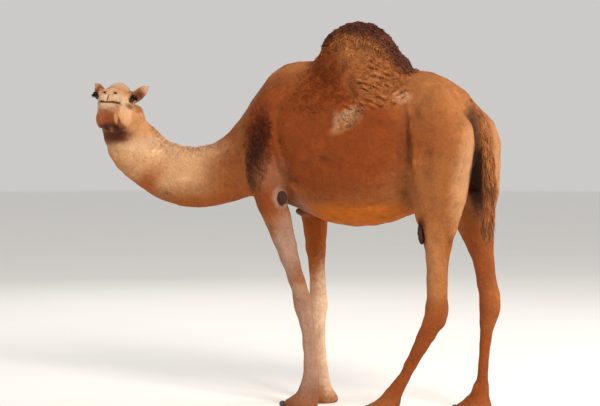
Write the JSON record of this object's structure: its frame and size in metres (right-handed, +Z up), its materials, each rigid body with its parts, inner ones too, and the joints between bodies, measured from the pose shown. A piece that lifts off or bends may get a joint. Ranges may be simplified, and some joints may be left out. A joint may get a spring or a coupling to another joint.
{
  "type": "dromedary camel",
  "caption": "Standing one-humped camel with a low curved neck, its head turned back to the left, four long legs and broad padded feet.",
  "frame": {"origin": "on the ground, at the centre of the bounding box of the whole animal", "axes": "+X from head to tail along the body, +Y to the animal's right, +Z up"},
  "size_m": [2.2832, 0.869, 2.074],
  "materials": {
    "coat": "short dense reddish-brown hair",
    "dark_wool": "curly dark brown wool",
    "eye": "wet glossy",
    "nail": "dull horn",
    "callus": "rough hairless hide"
  },
  "bodies": {
    "root": {"chest_pad": "callus", "ear_left": "coat", "ear_right": "coat", "elbow_pad_left": "callus", "elbow_pad_right": "callus", "eye_left": "eye", "eye_right": "eye", "fore_foot_left": "coat", "fore_foot_right": "coat", "fore_nail_inner_left": "nail", "fore_nail_inner_right": "nail", "fore_nail_outer_left": "nail", "fore_nail_outer_right": "nail", "fore_shank_left": "coat", "fore_shank_right": "coat", "forearm_left": "coat", "forearm_right": "coat", "gaskin_left": "coat", "gaskin_right": "coat", "head": "coat", "hind_foot_left": "coat", "hind_foot_right": "coat", "hind_nail_inner_left": "nail", "hind_nail_inner_right": "nail", "hind_nail_outer_left": "nail", "hind_nail_outer_right": "nail", "hind_shank_left": "coat", "hind_shank_right": "coat", "hump": "dark_wool", "lower_jaw": "coat", "neck_base": "coat", "neck_middle": "coat", "neck_top": "coat", "stifle_pad_left": "callus", "stifle_pad_right": "callus", "tail_dock": "coat", "tail_tuft": "dark_wool", "thigh_left": "coat", "thigh_right": "coat", "trunk": "coat", "upper_arm_left": "coat", "upper_arm_right": "coat"}
  },
  "joints": []
}
